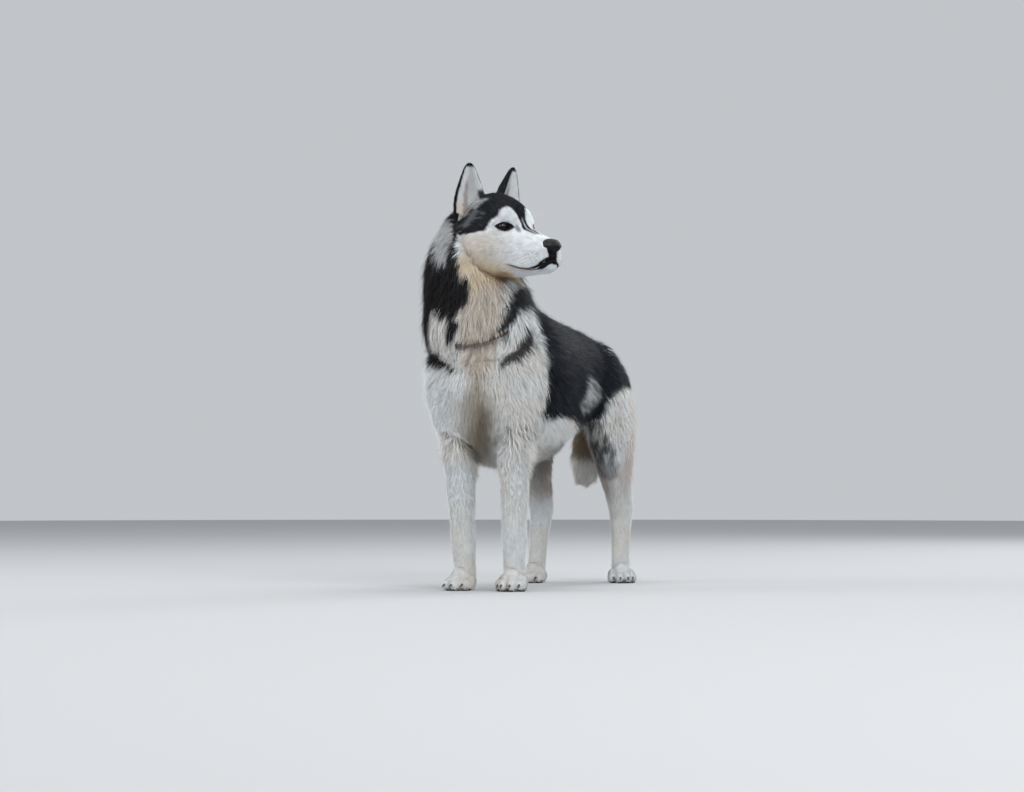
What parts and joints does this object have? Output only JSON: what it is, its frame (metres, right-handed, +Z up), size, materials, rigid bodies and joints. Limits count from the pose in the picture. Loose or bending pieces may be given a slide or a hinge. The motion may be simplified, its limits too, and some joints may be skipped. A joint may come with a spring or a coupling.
{
  "type": "siberian husky figure",
  "caption": "Life-size still figure of a standing spitz-type sled dog with thick double coat, pricked ears, head turned aside and tail hanging, wearing a narrow collar.",
  "frame": {"origin": "middle of the footprint on the floor, under the trunk", "axes": "+Z up, the trunk points along -Y (tail at +Y), the dog's left side is +X and its head is turned to its left"},
  "size_m": [0.3212, 0.7222, 0.8189],
  "materials": {
    "coat_dark": "thick matt guard hair, black",
    "coat_grey": "thick matt guard hair, grey",
    "coat_white": "short to long matt hair, white",
    "eye": "wet and clear, dark brown",
    "nose_leather": "bare, pebbled and slightly moist, black",
    "collar_leather": "plain and worn, brown"
  },
  "bodies": {
    "root": {"torso": "coat_dark", "neck": "coat_grey", "head": "coat_white", "ear_left": "coat_dark", "ear_right": "coat_dark", "eye_left": "eye", "eye_right": "eye", "nose": "nose_leather", "foreleg_left": "coat_white", "foreleg_right": "coat_white", "thigh_left": "coat_grey", "thigh_right": "coat_grey", "hindleg_left": "coat_white", "hindleg_right": "coat_white", "tail": "coat_grey", "collar": "collar_leather"}
  },
  "joints": []
}
